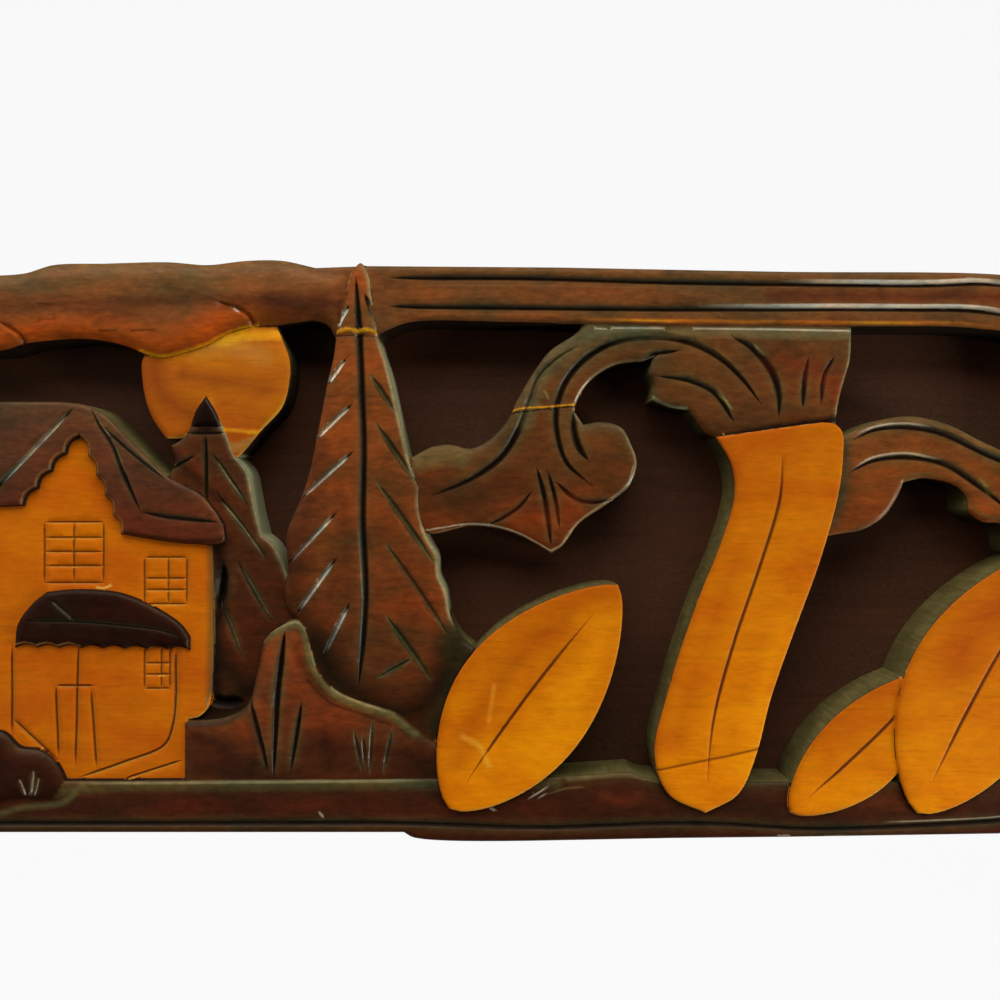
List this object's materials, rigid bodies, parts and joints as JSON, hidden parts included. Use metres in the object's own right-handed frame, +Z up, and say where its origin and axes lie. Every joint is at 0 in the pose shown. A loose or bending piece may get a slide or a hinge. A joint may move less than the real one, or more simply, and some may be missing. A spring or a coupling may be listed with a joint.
{
  "type": "carved wooden wall plaque",
  "caption": "Pierced and carved wooden wall plaque with house, moon, trees, scrollwork and raised slanted strokes, on a thin flat backing board.",
  "frame": {"origin": "middle of the flat back face, on the wall", "axes": "-Y out of the wall towards the viewer, +Z up, +X to the viewer's right"},
  "size_m": [0.4347, 0.0263, 0.2054],
  "materials": {
    "carved_panel": "glossy varnish",
    "backing_board": "matte stain"
  },
  "bodies": {
    "root": {"carved_panel": "carved_panel", "backing_board": "backing_board"}
  },
  "joints": []
}
